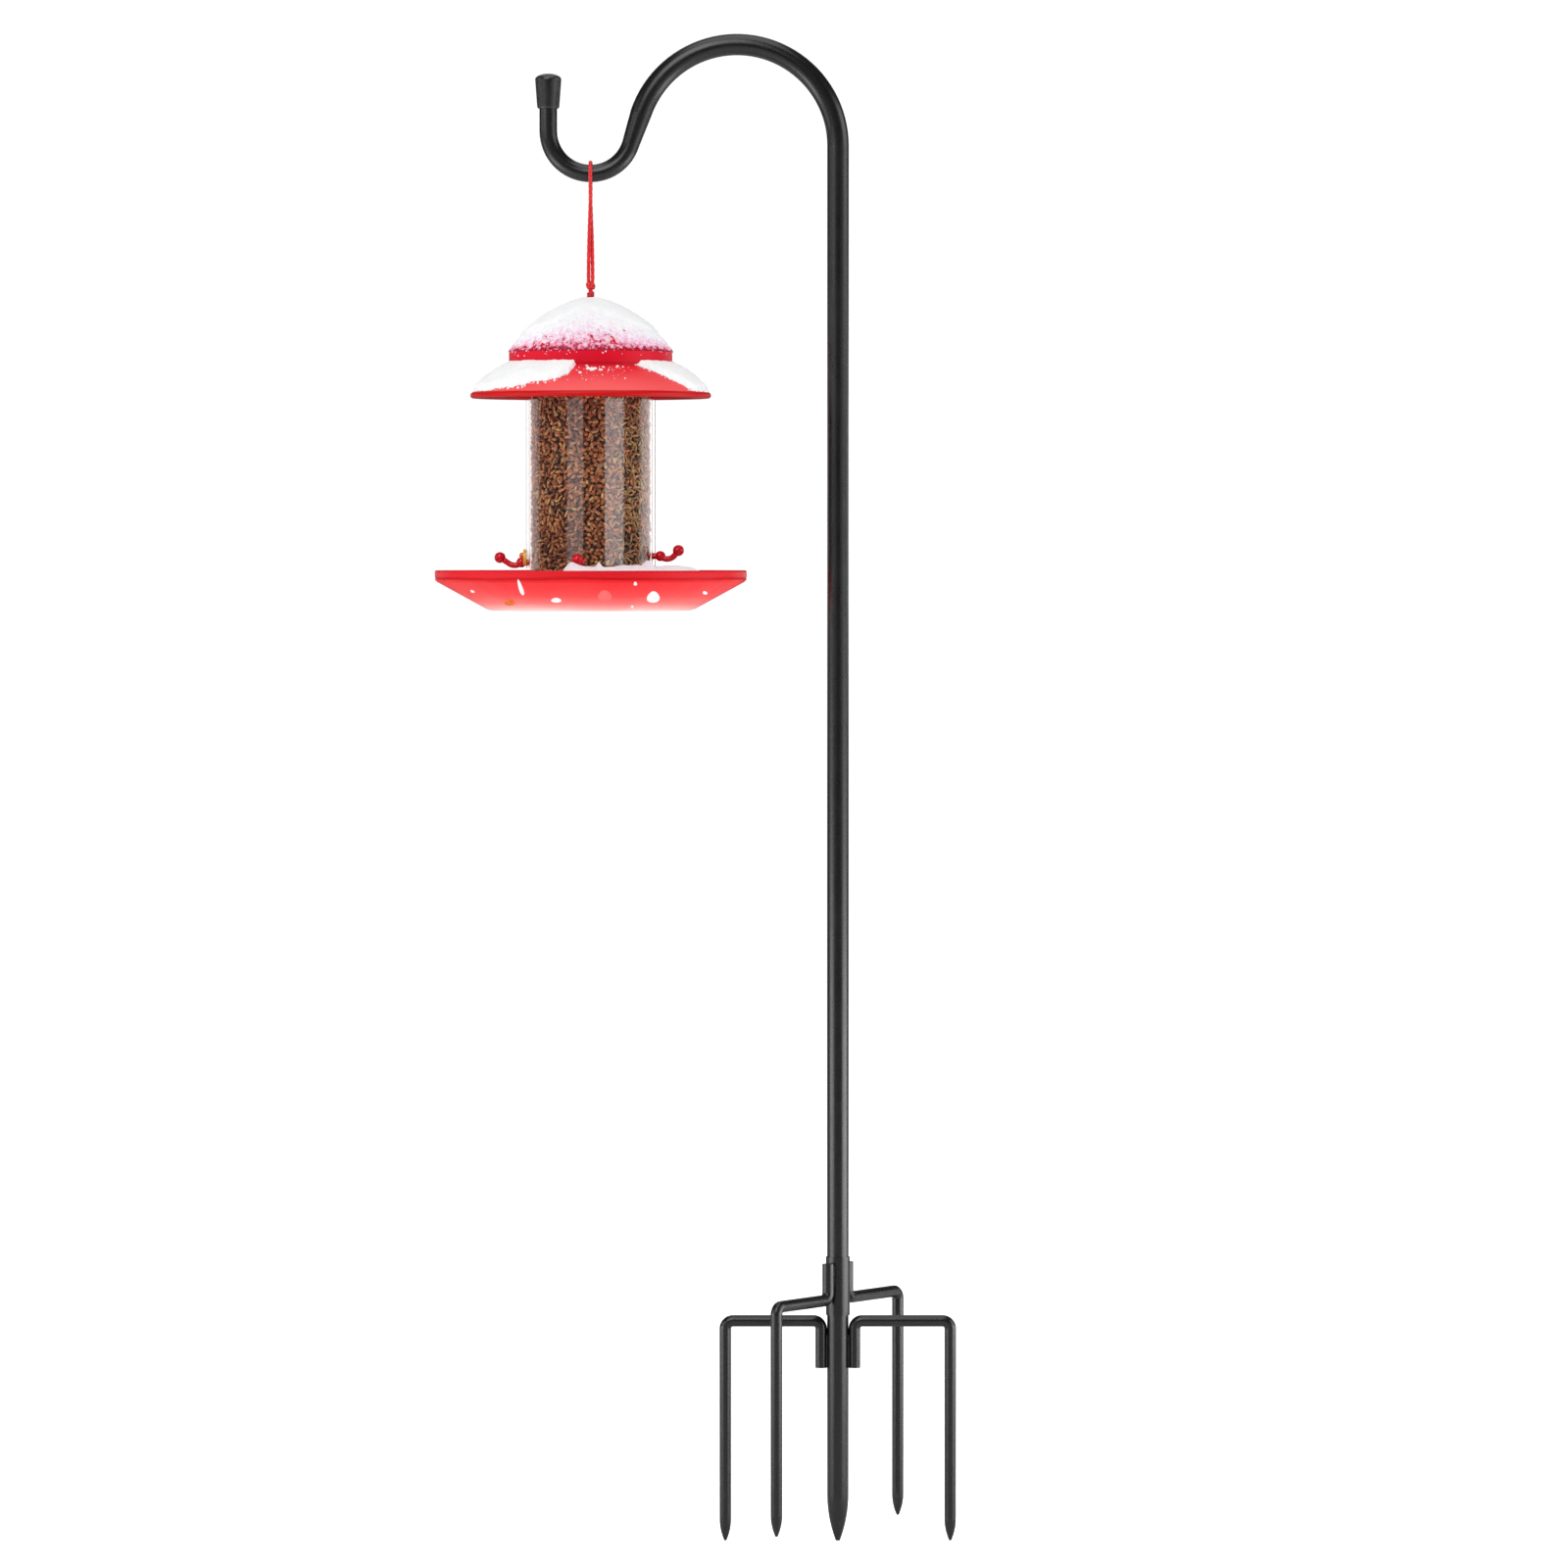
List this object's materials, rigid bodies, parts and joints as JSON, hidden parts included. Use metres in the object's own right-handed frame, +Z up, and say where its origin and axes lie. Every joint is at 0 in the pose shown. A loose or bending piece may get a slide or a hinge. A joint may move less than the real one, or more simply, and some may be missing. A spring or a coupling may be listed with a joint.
{
  "type": "bird feeder on pole",
  "caption": "Red seed feeder with a domed roof, clear tube and round tray, hung by a cord from a black shepherd's-crook pole with a pronged ground base.",
  "frame": {"origin": "on the pole's axis at the ground line, the underside of the lower prong arms", "axes": "+Z up along the pole; the crook reaches towards -X; the camera side is -Y"},
  "size_m": [0.532, 0.318, 1.5379],
  "materials": {
    "black_steel": "satin black powder coat",
    "plug_steel": "bare turned steel plug",
    "zinc_steel": "zinc plated",
    "black_rubber": "smooth moulded rubber",
    "red_cord": "braided cord",
    "red_plastic": "semi-gloss moulded plastic",
    "red_gloss": "high gloss moulded plastic",
    "grommet_red": "soft grommet",
    "clear_plastic": "clear tube",
    "seed": "loose mixed seed",
    "yellow_plastic": "moulded plastic",
    "orange_plastic": "moulded plastic"
  },
  "bodies": {
    "stake": {"stake_tube": "black_steel", "ground_spike": "black_steel", "prong_left": "black_steel", "prong_right": "black_steel"},
    "collar": {"collar_sleeve": "black_steel", "prong_front": "black_steel", "prong_rear": "black_steel"},
    "connector": {"pole_connector": "plug_steel"},
    "pole": {"pole_lower": "black_steel", "pole_middle": "black_steel", "crook": "black_steel", "pole_couplers": "plug_steel", "hook_end_cap": "black_rubber"},
    "cord_saddle": {"cord_loop": "red_cord"},
    "cord_drop": {"cord_strands": "red_cord", "cord_knot": "red_cord", "cord_tail": "red_cord"},
    "feeder": {"hanger_stirrup": "zinc_steel", "center_rod": "zinc_steel", "top_nut": "zinc_steel", "tube_spider": "red_plastic", "seed_tube": "clear_plastic", "seed_fill": "seed", "seed_deflector": "red_plastic", "tray": "red_plastic", "tray_washer": "zinc_steel", "wing_nut": "zinc_steel", "perch_front": "red_gloss", "perch_left": "red_gloss", "perch_rear": "red_gloss", "perch_right": "red_gloss", "port_guard": "yellow_plastic", "port_bead": "orange_plastic"},
    "roof": {"roof_dome": "red_plastic", "roof_brim": "red_plastic", "roof_grommet": "grommet_red", "roof_screws": "zinc_steel"}
  },
  "joints": [
    {"name": "collar_turn", "type": "hinge", "parent": "stake", "child": "collar", "pos_m": [0, 0, 0.04], "axis": [0, 0, 1], "range_deg": [-50, 116]},
    {"name": "pole_turn", "type": "hinge", "parent": "stake", "child": "connector", "pos_m": [0, 0, 0.04], "axis": [0, 0, 1], "continuous": true},
    {"name": "pole_lift", "type": "slide", "parent": "connector", "child": "pole", "axis": [0, 0, 1], "range_m": [0, 0.05]},
    {"name": "swing_front_back", "type": "hinge", "parent": "pole", "child": "cord_saddle", "pos_m": [-0.252, 0, 1.177], "axis": [1, 0, 0], "range_deg": [-35, 35]},
    {"name": "swing_side", "type": "hinge", "parent": "cord_saddle", "child": "cord_drop", "pos_m": [-0.252, 0, 1.1635], "axis": [0, 1, 0], "range_deg": [-11, 25]},
    {"name": "feeder_twist", "type": "hinge", "parent": "cord_drop", "child": "feeder", "pos_m": [-0.252, 0, 1.028], "axis": [0, 0, 1], "range_deg": [-180, 180]},
    {"name": "roof_lift", "type": "slide", "parent": "feeder", "child": "roof", "axis": [0, 0, 1], "range_m": [0, 0.08]}
  ]
}
